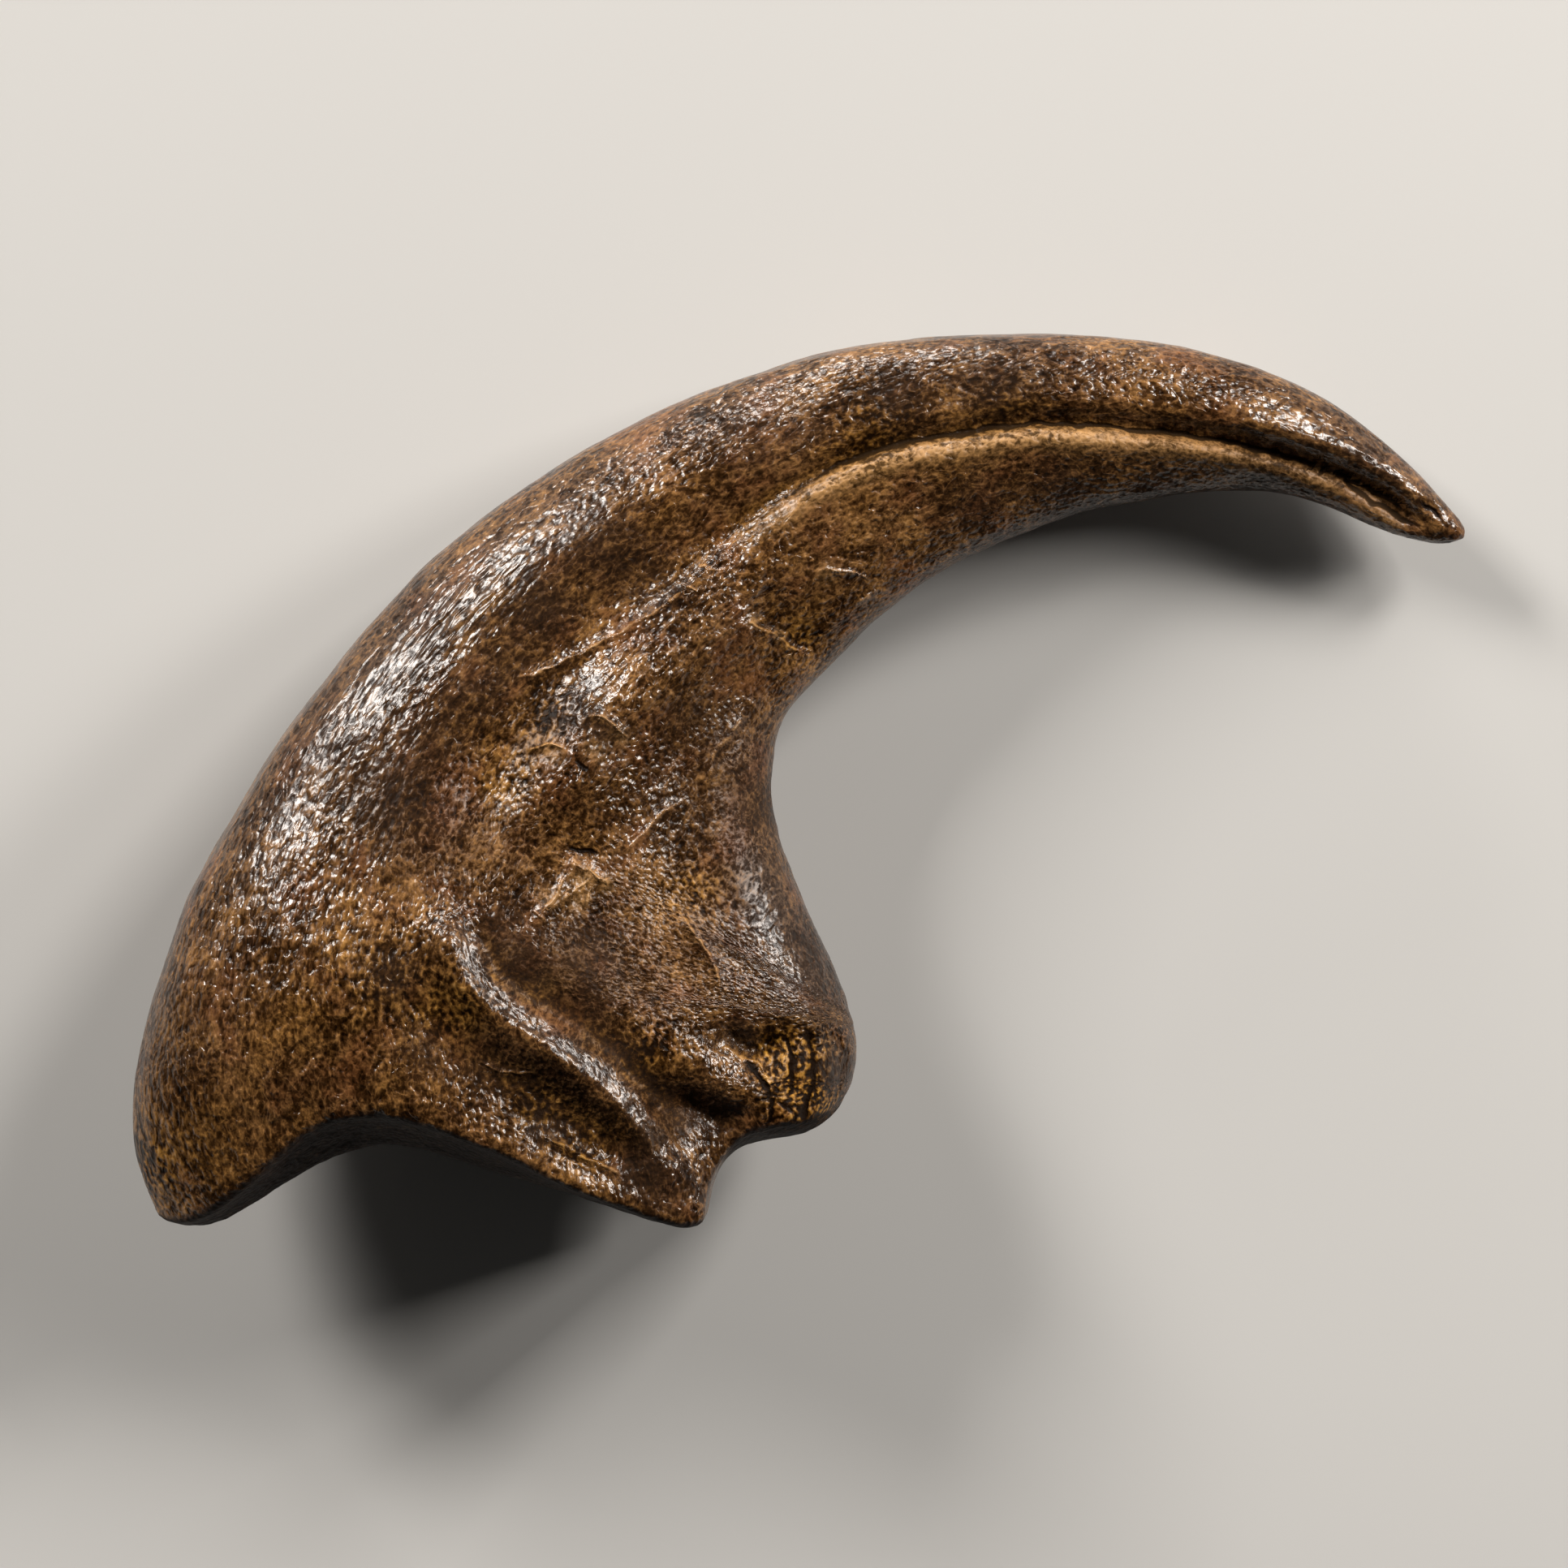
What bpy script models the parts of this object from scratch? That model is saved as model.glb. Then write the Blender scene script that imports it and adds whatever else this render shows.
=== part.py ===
"""Hand claw of a large meat-eating dinosaur: one fossil bone, lying on its side.

The claw is drawn in its side view, in millimetres about the middle of its outline, with +X towards
the tip and +Y towards the curved back. A loft of oval rings runs from the joint at the base to the
tip. Each ring crosses the back edge, the line of the sheath groove and the hollow edge, so that a
row of vertices follows the floor of the groove. Ridges, grooves and swellings are raised on both
flanks, the joint face closes the base, and the bone is laid down on three small worn flats.
"""

import math

import bmesh
import bpy
import numpy as np
from mathutils import Euler

MM = 0.001
# Columns of faces across one flank, above and below the groove line
UPPER_COLUMNS = 18
LOWER_COLUMNS = 12
CAP_ROWS = 6

# Stations from the base to the tip: back edge, groove line and hollow edge as x, y, then half the
# thickness, and the number of rings up to the next station
STATIONS = (
    (-87.2, -58.2, -12.5, -58.8, 6.3, -42.9, 19.5, 4),
    (-90.1, -50.0, -16.6, -48.3, 7.9, -39.9, 20.3, 4),
    (-90.3, -41.2, -22.8, -39.3, 8.3, -35.2, 20.8, 4),
    (-88.4, -31.9, -31.0, -31.4, 7.4, -30.3, 20.6, 4),
    (-85.4, -22.6, -38.9, -24.8, 5.8, -25.4, 20.0, 4),
    (-82.0, -13.9, -43.3, -16.1, 3.7, -21.0, 19.0, 4),
    (-77.0, -5.4, -43.6, -7.3, 1.7, -16.6, 18.2, 4),
    (-71.5, 3.8, -41.5, -0.2, -0.3, -11.9, 17.4, 4),
    (-65.3, 12.3, -38.2, 6.3, -2.1, -7.3, 16.7, 3),
    (-58.3, 20.9, -33.2, 12.9, -3.1, -2.4, 16.0, 3),
    (-50.7, 29.0, -26.1, 20.0, -3.1, 3.0, 15.4, 3),
    (-41.9, 36.4, -18.5, 26.0, -1.8, 8.2, 14.8, 3),
    (-31.2, 43.5, -11.4, 31.5, 2.0, 12.7, 14.2, 3),
    (-20.2, 49.5, -4.0, 37.2, 6.9, 17.8, 13.5, 3),
    (-9.2, 54.0, 4.0, 42.0, 11.6, 22.4, 12.7, 2),
    (1.6, 57.5, 12.0, 45.2, 17.1, 26.6, 11.9, 2),
    (12.6, 59.6, 20.0, 46.7, 23.1, 30.0, 11.1, 2),
    (23.6, 60.4, 28.0, 48.0, 30.4, 33.3, 10.3, 2),
    (34.6, 60.4, 36.0, 48.2, 37.0, 35.7, 9.5, 2),
    (45.7, 59.8, 45.0, 47.6, 44.4, 37.3, 8.7, 2),
    (56.6, 57.6, 55.0, 46.4, 54.0, 38.9, 7.8, 2),
    (67.6, 53.5, 65.0, 44.0, 63.0, 39.0, 6.6, 2),
    (74.9, 49.2, 72.5, 41.5, 70.0, 37.4, 5.6, 2),
    (80.8, 44.2, 78.5, 38.6, 76.0, 35.0, 4.6, 2),
    (85.9, 39.2, 83.6, 35.2, 81.2, 32.9, 3.5, 2),
    (88.6, 36.0, 87.0, 33.4, 85.6, 32.0, 2.4, 2),
    (89.8, 34.3, 89.0, 32.9, 88.3, 32.1, 1.3, 1),
)
TIP = (90.2, 32.9)

# Rim of the base on either flank: over the hollow joint to its lower lip, then up to the tubercle
JOINT_RIM = (
    (-87.2, -58.2),
    (-83.5, -59.6),
    (-78.5, -58.0),
    (-72.5, -53.5),
    (-68.0, -49.0),
    (-62.5, -45.2),
    (-55.5, -44.0),
    (-47.0, -46.5),
    (-41.5, -48.3),
    (-35.0, -51.5),
    (-28.0, -54.8),
    (-21.0, -57.3),
    (-16.0, -59.3),
    (-12.5, -58.8),
)
TUBERCLE_RIM = (
    (-12.5, -58.8),
    (-12.0, -54.0),
    (-10.2, -49.6),
    (-7.0, -46.5),
    (-3.0, -45.5),
    (1.5, -44.8),
    (6.3, -42.9),
)
# Middle line of the base: the keel of the joint, then the rounded end of the tubercle
JOINT_KEEL = (
    (-87.2, -58.2),
    (-82.0, -60.3),
    (-78.0, -59.8),
    (-71.5, -56.0),
    (-66.5, -53.0),
    (-61.0, -50.5),
    (-53.5, -49.3),
    (-45.5, -51.5),
    (-40.0, -53.5),
    (-31.5, -55.6),
    (-22.0, -58.5),
    (-16.5, -60.2),
    (-12.5, -58.8),
)
TUBERCLE_KEEL = (
    (-12.5, -58.8),
    (-11.3, -53.5),
    (-9.0, -49.8),
    (-4.5, -48.2),
    (-1.0, -48.0),
    (3.0, -46.4),
    (6.3, -42.9),
)
# Half the thickness of the base along its rim: from the back to the lip, then to the tubercle
RIM_HALF_THICKNESS = (0.0, 11.5, 16.5, 19.0, 19.5, 18.5, 14.0, 12.0, 12.0, 12.5, 12.5, 10.5, 0.0)
LIP_IN_RIM_HALF_THICKNESS = 6
# The base outline fades into straight rings over this many stations
JOINT_FADE = 6.5
TUBERCLE_FADE = 2.2

# Section of a ring: its thickest place from the back, and how round its edges are
THICKEST_PLACE = 0.45
EDGE_ROUNDNESS = 0.5

# Forms on both flanks: path, spread to either side and height, negative where it is sunk
FORMS = {
    "sheath groove": (
        ((-8, 34), (-4, 37.2), (4, 42), (12, 45.2), (20, 46.7), (28, 48), (36, 48.2), (45, 47.6),
         (55, 46.4), (65, 44), (72.5, 41.5), (78.5, 38.6), (83, 35.2)),
        1.3,
        -2.2,
    ),
    "crest below the groove": (
        ((-6, 33), (2, 38.6), (11, 42.6), (20, 44.2), (28, 45.6), (36, 46), (45, 45.4), (55, 44.2),
         (64, 42.2)),
        1.8,
        0.8,
    ),
    "hollow above the groove": (
        ((-4, 40.5), (2, 44), (9, 47), (17, 49), (26, 50.2)),
        2.6,
        -0.5,
    ),
    "valley below the groove": (
        ((-6, 35.5), (-13, 30.5), (-24, 22), (-32, 14.5), (-37, 7), (-41, -1), (-43.5, -11)),
        6.0,
        -1.8,
    ),
    "ridge beside the valley": (
        ((-6, 29), (-15.5, 21.5), (-23, 13.5), (-28.5, 5), (-32, -3)),
        4.2,
        1.3,
    ),
    "sunken plate": (((-33, -10), (-26, -16), (-20, -24)), 7.5, -1.3),
    "joint ridge": (
        ((-46.5, -19.5), (-43.7, -26.5), (-37.3, -32.3), (-31.5, -36.2), (-26.5, -40.3),
         (-21.5, -45.5), (-18, -51)),
        1.9,
        2.6,
    ),
    "valley above the joint ridge": (
        ((-42, -22.5), (-39.8, -26), (-36.4, -28.6), (-30.5, -31.9), (-25, -36), (-21, -41),
         (-17, -46)),
        2.4,
        -1.8,
    ),
    "hollow below the joint ridge": (((-48.5, -31), (-41.5, -38), (-33, -43.5), (-25, -49)), 4.2, -2.4),
    "tendon column": (((-7, 2), (-6.5, -8), (-4, -17), (-0.5, -26)), 4.8, 1.8),
    "valley beside the column": (((-14, 3), (-15, -6), (-15.5, -15)), 3.4, -1.1),
    "spur on the plate": (((-16.5, -17.5), (-13.5, -21), (-11.5, -24), (-10.5, -28)), 1.6, 1.0),
    "pit by the tubercle": (((-10.5, -33.5), (-6, -36.3), (-3, -34)), 1.8, -2.4),
    "knob": (((-9, -40.5), (-7, -41.5)), 3.0, 2.4),
    "hollow under the knob": (((-15.5, -42.5), (-10, -45.8)), 2.2, -2.0),
    "tubercle": (((1.5, -33), (3, -39)), 5.5, 1.4),
    "flake scar": (((-5, 21.5), (-0.5, 19.5), (3, 16.5)), 2.0, -0.9),
    "flake edge": (((-13, -1), (-11.5, 3), (-9, 6.5), (-6, 10)), 1.2, 0.7),
}
# Forms die out where the section is thinner than this, and are weaker on the worn lower flank
FORM_EDGE = 4.0
LOWER_FLANK_FORMS = 0.5

# The bone lies with its middle plane tipped by these angles and rests on flats worn this deep
ROLL_DEG = -5.4
PITCH_DEG = 2.4
FLAT_DEPTH = 0.6

BONE_COLOUR = (0.105, 0.055, 0.026)
BONE_ROUGHNESS = 0.38


def spline(points, positions):
    """Catmull-Rom curve through the rows of points, read at positions counted in rows."""
    rows = np.asarray(points, dtype=float)
    before = 2 * rows[0] - rows[1]
    after = 2 * rows[-1] - rows[-2]
    padded = np.vstack([before, rows, after])
    positions = np.clip(positions, 0, len(rows) - 1)
    start = np.minimum(positions.astype(int), len(rows) - 2)
    t = (positions - start)[:, None]
    p0, p1, p2, p3 = (padded[start + k] for k in range(4))
    return 0.5 * (
        2 * p1 + (p2 - p0) * t + (2 * p0 - 5 * p1 + 4 * p2 - p3) * t**2
        + (3 * p1 - p0 - 3 * p2 + p3) * t**3
    )


def along(points, fractions):
    """Points of a smooth curve at the given fractions of its length."""
    fine = spline(points, np.linspace(0, len(points) - 1, 40 * len(points)))
    steps = np.linalg.norm(np.diff(fine, axis=0), axis=1)
    lengths = np.concatenate([[0], np.cumsum(steps)])
    wanted = fractions * lengths[-1]
    return np.column_stack([np.interp(wanted, lengths, fine[:, k]) for k in range(2)])


def column_fractions(columns):
    """Spacing of the columns across part of a ring: closer together at both of its ends."""
    even = np.linspace(0, 1, columns + 1)
    crowded = 0.5 - 0.5 * np.cos(math.pi * even)
    return 0.5 * (even + crowded)


def ring_positions():
    """Positions of the rings, counted in stations."""
    positions = []
    for index, station in enumerate(STATIONS[:-1]):
        ring_count = station[7]
        positions += [index + step / ring_count for step in range(ring_count)]
    positions.append(len(STATIONS) - 1)
    return np.array(positions, dtype=float)


def part_outline(start, end, base_curve, fade, fractions):
    """Part of a ring in the side view: straight, or bent like the base where fade is near 1."""
    straight = start + (end - start) * fractions[:, None]
    base_straight = base_curve[0] + (base_curve[-1] - base_curve[0]) * fractions[:, None]
    return straight + fade * (base_curve - base_straight)


def section_thickness(outline):
    """Half the thickness across a ring, as a share of the thickest place."""
    steps = np.linalg.norm(np.diff(outline, axis=0), axis=1)
    place = np.concatenate([[0], np.cumsum(steps)])
    place /= place[-1]
    skew = math.log(0.5) / math.log(THICKEST_PLACE)
    arch = np.sin(math.pi * place**skew)
    return np.clip(arch, 0, 1) ** EDGE_ROUNDNESS


def form_height(points, path, spread, height):
    """Height of one form over side-view points: full on its path, none beyond its ends."""
    line = spline(path, np.linspace(0, len(path) - 1, 12 * len(path)))
    offsets = points[:, None, :] - line[None, :, :]
    squared = (offsets**2).sum(axis=2).min(axis=1)
    return height * np.exp(-squared / spread**2)


def relief(points):
    """All forms of a flank over side-view points."""
    return sum(form_height(points, *form) for form in FORMS.values())


def flank_grid():
    """Side-view points and half-thicknesses, one row a ring, from the back to the hollow edge."""
    positions = ring_positions()
    table = spline([station[:7] for station in STATIONS], positions)
    upper_fractions = column_fractions(UPPER_COLUMNS)
    lower_fractions = column_fractions(LOWER_COLUMNS)
    joint = along(JOINT_RIM, upper_fractions)
    tubercle = along(TUBERCLE_RIM, lower_fractions)
    lip_place = LIP_IN_RIM_HALF_THICKNESS
    end_place = len(RIM_HALF_THICKNESS) - 1
    rim_places = np.concatenate([
        lip_place * upper_fractions,
        lip_place + (end_place - lip_place) * lower_fractions[1:],
    ])
    rim = spline(np.array(RIM_HALF_THICKNESS)[:, None], rim_places)[:, 0]

    outlines = []
    halves = []
    for position, row in zip(positions, table):
        joint_fade = max(0.0, 1 - position / JOINT_FADE)
        tubercle_fade = max(0.0, 1 - position / TUBERCLE_FADE)
        back, groove, hollow = row[0:2], row[2:4], row[4:6]
        upper = part_outline(back, groove, joint, joint_fade, upper_fractions)
        lower = part_outline(groove, hollow, tubercle, tubercle_fade, lower_fractions)
        outline = np.vstack([upper, lower[1:]])
        half = row[6] * section_thickness(outline)
        half += (rim - half) * tubercle_fade
        outlines.append(outline)
        halves.append(half)
    return np.array(outlines), np.array(halves)


def cap_rows(rim):
    """Side-view points of the rows that close the base, from the rim to its middle line."""
    joint_keel = along(JOINT_KEEL, column_fractions(UPPER_COLUMNS))
    tubercle_keel = along(TUBERCLE_KEEL, column_fractions(LOWER_COLUMNS))
    keel = np.vstack([joint_keel, tubercle_keel[1:]])
    joint_columns = np.arange(len(keel)) <= UPPER_COLUMNS
    rows = []
    for inward in cap_shares():
        ridged = inward**2
        rounded = math.sin(0.5 * math.pi * inward)
        share = np.where(joint_columns, ridged, rounded)[:, None]
        rows.append(rim + (keel - rim) * share)
    return np.array(rows)


def cap_shares():
    """How far inward from the rim each row of the closed base lies, up to 1 on the middle line."""
    return np.arange(1, CAP_ROWS + 1) / CAP_ROWS


def flank_heights(halves, forms, form_share):
    """Heights of one flank above the middle plane, with the rows that close the base in front."""
    heights = halves + form_share * forms * np.clip(halves / FORM_EDGE, 0, 1)
    cap = heights[0] * (1 - cap_shares())[:, None]
    return np.concatenate([cap[::-1], heights])


def build_claw():
    """Mesh of the claw in millimetres, standing in its side view."""
    outlines, halves = flank_grid()
    forms = relief(outlines.reshape(-1, 2)).reshape(halves.shape)
    upper_heights = flank_heights(halves, forms, 1.0)
    lower_heights = flank_heights(halves, forms, LOWER_FLANK_FORMS)
    outlines = np.concatenate([cap_rows(outlines[0])[::-1], outlines])

    mesh = bmesh.new()
    last_column = halves.shape[1] - 1
    shared_ends = {
        column: mesh.verts.new((*outlines[CAP_ROWS, column], 0)) for column in (0, last_column)
    }

    def ring_vertices(row):
        """Vertices of one ring, over the upper flank and back under the lower one."""
        upper = []
        lower = []
        for column in range(last_column + 1):
            place = outlines[row, column]
            at_edge = column in shared_ends
            if at_edge and row <= CAP_ROWS:
                upper.append(shared_ends[column])
                lower.append(shared_ends[column])
            elif at_edge or row == 0:
                vertex = mesh.verts.new((*place, 0))
                upper.append(vertex)
                lower.append(vertex)
            else:
                upper.append(mesh.verts.new((*place, upper_heights[row, column])))
                lower.append(mesh.verts.new((*place, -lower_heights[row, column])))
        return upper, lower

    rings = [ring_vertices(row) for row in range(len(outlines))]
    for (upper_a, lower_a), (upper_b, lower_b) in zip(rings, rings[1:]):
        for left in range(last_column):
            right = left + 1
            add_face(mesh, upper_a[left], upper_b[left], upper_b[right], upper_a[right])
            add_face(mesh, lower_a[right], lower_b[right], lower_b[left], lower_a[left])
    tip = mesh.verts.new((*TIP, 0))
    upper, lower = rings[-1]
    for left in range(last_column):
        add_face(mesh, upper[left], tip, upper[left + 1])
        add_face(mesh, lower[left + 1], tip, lower[left])
    bmesh.ops.recalc_face_normals(mesh, faces=mesh.faces)
    return mesh


def add_face(mesh, *corners):
    """Face over the corners, leaving out those that repeat at the ends of the base."""
    unique = list(dict.fromkeys(corners))
    if len(unique) > 2:
        mesh.faces.new(unique)


def lay_down(mesh):
    """Tip the claw to its resting pose and wear small flats where it touches the table."""
    turn = Euler((math.radians(ROLL_DEG), math.radians(PITCH_DEG), 0)).to_matrix()
    bmesh.ops.rotate(mesh, verts=mesh.verts, matrix=turn)
    lows = [min(vertex.co[axis] for vertex in mesh.verts) for axis in range(3)]
    highs = [max(vertex.co[axis] for vertex in mesh.verts) for axis in range(3)]
    middle_x = 0.5 * (lows[0] + highs[0])
    middle_y = 0.5 * (lows[1] + highs[1])
    table_z = lows[2] + FLAT_DEPTH
    bmesh.ops.translate(mesh, verts=mesh.verts, vec=(-middle_x, -middle_y, -table_z))
    geometry = mesh.verts[:] + mesh.edges[:] + mesh.faces[:]
    bmesh.ops.bisect_plane(
        mesh, geom=geometry, plane_co=(0, 0, 0), plane_no=(0, 0, 1), clear_inner=True
    )
    worn_edges = [edge for edge in mesh.edges if edge.is_boundary]
    bmesh.ops.edgeloop_fill(mesh, edges=worn_edges)
    bmesh.ops.recalc_face_normals(mesh, faces=mesh.faces)
    bmesh.ops.scale(mesh, verts=mesh.verts, vec=(MM, MM, MM))


def bone_material():
    """Dark brown, half glossy fossil bone."""
    material = bpy.data.materials.new("fossil_bone")
    material.use_nodes = True
    shader = material.node_tree.nodes["Principled BSDF"]
    shader.inputs["Base Color"].default_value = (*BONE_COLOUR, 1)
    shader.inputs["Roughness"].default_value = BONE_ROUGHNESS
    shader.inputs["Metallic"].default_value = 0.0
    return material


def main():
    for leftover in list(bpy.data.objects):
        bpy.data.objects.remove(leftover, do_unlink=True)
    collection = bpy.data.collections.new("dinosaur_claw")
    bpy.context.scene.collection.children.link(collection)
    shape = build_claw()
    lay_down(shape)
    data = bpy.data.meshes.new("claw")
    shape.to_mesh(data)
    shape.free()
    data.shade_smooth()
    data.materials.append(bone_material())
    claw = bpy.data.objects.new("claw", data)
    collection.objects.link(claw)


main()
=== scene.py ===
"""Fossil hand claw of a large predatory dinosaur, lying on its side on a pale table.

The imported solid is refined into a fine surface, which takes the sharp groove, ridges, chips, pits and
lumps of the bone; grain finer than the mesh is bump. Sizes are in millimetres in the claw's own side
view: x towards the tip, y towards the curved back, z towards the viewer, from the middle of its outline.
"""

import math
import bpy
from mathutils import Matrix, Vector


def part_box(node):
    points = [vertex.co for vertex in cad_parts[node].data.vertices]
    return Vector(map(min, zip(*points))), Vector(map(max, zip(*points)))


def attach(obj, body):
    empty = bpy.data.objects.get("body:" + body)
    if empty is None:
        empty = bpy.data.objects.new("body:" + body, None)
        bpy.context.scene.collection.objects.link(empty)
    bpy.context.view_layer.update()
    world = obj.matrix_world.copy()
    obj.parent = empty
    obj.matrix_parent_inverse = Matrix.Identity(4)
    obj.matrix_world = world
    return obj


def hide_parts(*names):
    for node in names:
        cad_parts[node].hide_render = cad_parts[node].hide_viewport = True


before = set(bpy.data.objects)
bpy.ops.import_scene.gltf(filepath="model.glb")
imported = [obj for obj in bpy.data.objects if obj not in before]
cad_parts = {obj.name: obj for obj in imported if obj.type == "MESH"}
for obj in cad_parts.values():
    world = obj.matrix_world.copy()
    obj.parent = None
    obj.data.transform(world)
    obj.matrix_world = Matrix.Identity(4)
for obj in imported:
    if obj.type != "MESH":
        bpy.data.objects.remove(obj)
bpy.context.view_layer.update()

from types import SimpleNamespace

import bmesh
import bpy
import numpy as np
from mathutils import Euler, Matrix, Vector

MM = 0.001

# The claw's side view in the frame: it lies with its middle plane tipped by these angles
ROLL_DEG = -5.4
PITCH_DEG = 2.4
SIDE_VIEW_ORIGIN = Vector((0.125, 0.129, 16.305)) * MM
SIDE_VIEW_TURN = Euler((math.radians(ROLL_DEG), math.radians(PITCH_DEG), 0)).to_matrix()

# The photograph: its frame is this wide and its middle lies at this point of the side view
FRAME_WIDTH = 211.3
FRAME_MIDDLE = (-1.97, -0.33)
LENS = 135.0
SENSOR = 36.0
CAMERA_DISTANCE = FRAME_WIDTH * LENS / SENSOR

# The fine surface: how near vertices of the solid are joined, how far its pairs of triangles may be
# folded and skewed to become quads, then the voxels, and the smoothing that takes off their steps
WELD = 0.001
QUAD_FOLD_DEG = 40
QUAD_SKEW_DEG = 60
SURFACE_VOXEL = 0.63
SMOOTH_SHARE = 0.5
SMOOTH_ROUNDS = 4

# The two flanks meet within this height of the middle plane. The hidden one takes this share of the
# patches, and lines fade where the surface turns away, between these z parts of its normal.
FLANK_EDGE = 1.5
HIDDEN_SHARE = 0.35
SHOWN_FACING = (0.1, 0.45)

# Lines and flakes wander by this much, over waves of this length
WANDER = 0.45
WANDER_WAVE = 3.0
WANDER_SEEDS = (71, 83)

# Heights and depths of the worn surface, and how far apart its lumps lie or, for what follows the
# grain, how many waves it has in a millimetre along it, across it and in depth. Polished bone loses
# some height of its wrinkles.
LUMP_HEIGHT = 0.15
LUMP_SPACING = 9.0
WRINKLE_HEIGHT = 0.10
WRINKLES_PER_MM = (0.11, 0.38, 0.38)
POLISHED_WRINKLE_LOSS = 0.04
KNOT_HEIGHT = 0.24
KNOT_SPACING = 3.2
SPLINTER_HEIGHT = 0.10
SPLINTERS_PER_MM = (0.18, 0.36, 0.36)
PIT_DEPTH = 0.30
PIT_SPACING = 2.4
PIT_RADII = (0.5, 0.12)

# Rounds of smoothing that show which places are hollow
HOLLOW_ROUNDS = 60

# Middle line of the claw from the base to the tip: the bone's grain runs along it
GRAIN_LINE = (
    (-48, -75),
    (-49, -58),
    (-50, -40),
    (-49, -22),
    (-43, -5),
    (-33, 9),
    (-21, 22),
    (-7, 33),
    (11, 42),
    (30, 47.5),
    (50, 48),
    (65, 45.5),
    (78, 39.5),
    (92, 31),
)
# Paths of the groove, of the ridge beside the joint, and of the crest between the two valleys
GROOVE = (
    (-6, 36),
    (-4, 37.2),
    (4, 42),
    (12, 45.2),
    (20, 46.7),
    (28, 48),
    (36, 48.2),
    (45, 47.6),
    (55, 46.4),
    (65, 44),
    (72.5, 41.5),
    (78.5, 38.6),
    (83, 35.2),
)
JOINT_RIDGE = (
    (-46.5, -19.5),
    (-43.7, -26.5),
    (-41.3, -29.3),
    (-37.3, -32.3),
    (-31.5, -36.2),
    (-26.5, -40.3),
    (-21.5, -45.5),
    (-18, -51),
)
VALLEY_CREST = (
    (-5.5, 35.5),
    (-13, 27.5),
    (-19, 23),
    (-23, 20.8),
    (-27.5, 18.5),
    (-34.5, 15),
    (-39.5, 13.5),
)

# Lines of the upper flank: path, spread to either side, height, and the lengths over which the line
# comes in at its start and dies away at its end. Sharp lines of one group lie well apart.
RIBS = (
    (
        (JOINT_RIDGE, 1.3, 0.35, 3, 5),
        (VALLEY_CREST, 0.8, 0.55, 6, 5),
        (((-13, -1), (-11.5, 3), (-9, 6.5), (-6.5, 9.5)), 0.6, 0.8, 3, 3),
        (((-36, -19.5), (-33.5, -16.3), (-31.5, -13.2), (-30.3, -11)), 0.6, 0.8, 2, 0.5),
        (((-7.5, 22), (-4, 20), (-1, 18.5), (1.5, 16.5)), 0.6, 0.55, 2, 2),
        (((1.5, 28.5), (5, 28.4), (10.5, 27)), 0.5, 0.5, 3, 3),
        (((-10.2, -35.5), (-7.6, -37.3), (-5, -38.5), (-4, -42), (-4.3, -45.5)), 0.7, 0.5, 1, 1),
    ),
    (
        (((-29.5, 8.6), (-27, 9), (-24.5, 7.2), (-22.5, 6)), 0.6, 0.7, 2, 2),
        (((-30.6, -10.8), (-28.5, -12), (-26.5, -13.4), (-24.8, -13.2)), 0.6, 0.8, 0.5, 1),
        (((-16.5, -17.5), (-13.5, -21), (-11.5, -24), (-10.5, -28)), 0.8, 0.6, 3, 3),
        (((10.5, 26), (9, 25), (7.5, 24)), 0.5, 0.5, 1, 1),
        (((-36.5, 4.2), (-33.5, 5), (-31.5, 4.2)), 0.6, 0.6, 1, 1),
        (((-35, -47), (-31, -49.5), (-27, -51), (-23, -53)), 0.7, 0.6, 2, 2),
    ),
    (
        (((-26.5, -41), (-21.5, -45.5), (-18.5, -50)), 2.5, 1.2, 4, 4),
        (((-58, 19.5), (-66.5, 7), (-73, -3), (-79, -14), (-83.5, -24), (-86, -35)), 7.0, 1.4, 12, 10),
        (((-14, 53), (5, 58.3), (20, 59.5), (38, 58.5)), 4.0, 1.1, 12, 12),
        (
            ((-4, 37), (-12, 33), (-22, 27.5), (-32, 20.5), (-39, 12), (-42.5, 2), (-44, -8)),
            6.5, -1.2, 8, 8,
        ),
        (((-38, -24), (-33, -28.5), (-27.5, -32.5), (-22, -37)), 2.6, -0.7, 4, 4),
        (((-2, 22.5), (-12, 18), (-20.5, 11.5), (-26.5, 4), (-31, -6)), 4.0, 1.0, 6, 6),
        (((56, 49.6), (65, 46.8), (73, 44.2), (80, 40.6), (85.5, 36.8)), 2.3, 0.9, 6, 3),
        (((-31.8, -16.2), (-30, -14.2), (-28.6, -13), (-28.6, -17.2)), 0.6, 0.7, 1, 1),
        (((-43.5, -37.5), (-39.5, -39), (-35, -39.5)), 0.5, 0.4, 2, 2),
        (((-24, -9.5), (-21, -7), (-17.5, -3.5), (-14.5, -2)), 0.5, 0.5, 3, 3),
    ),
)
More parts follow.
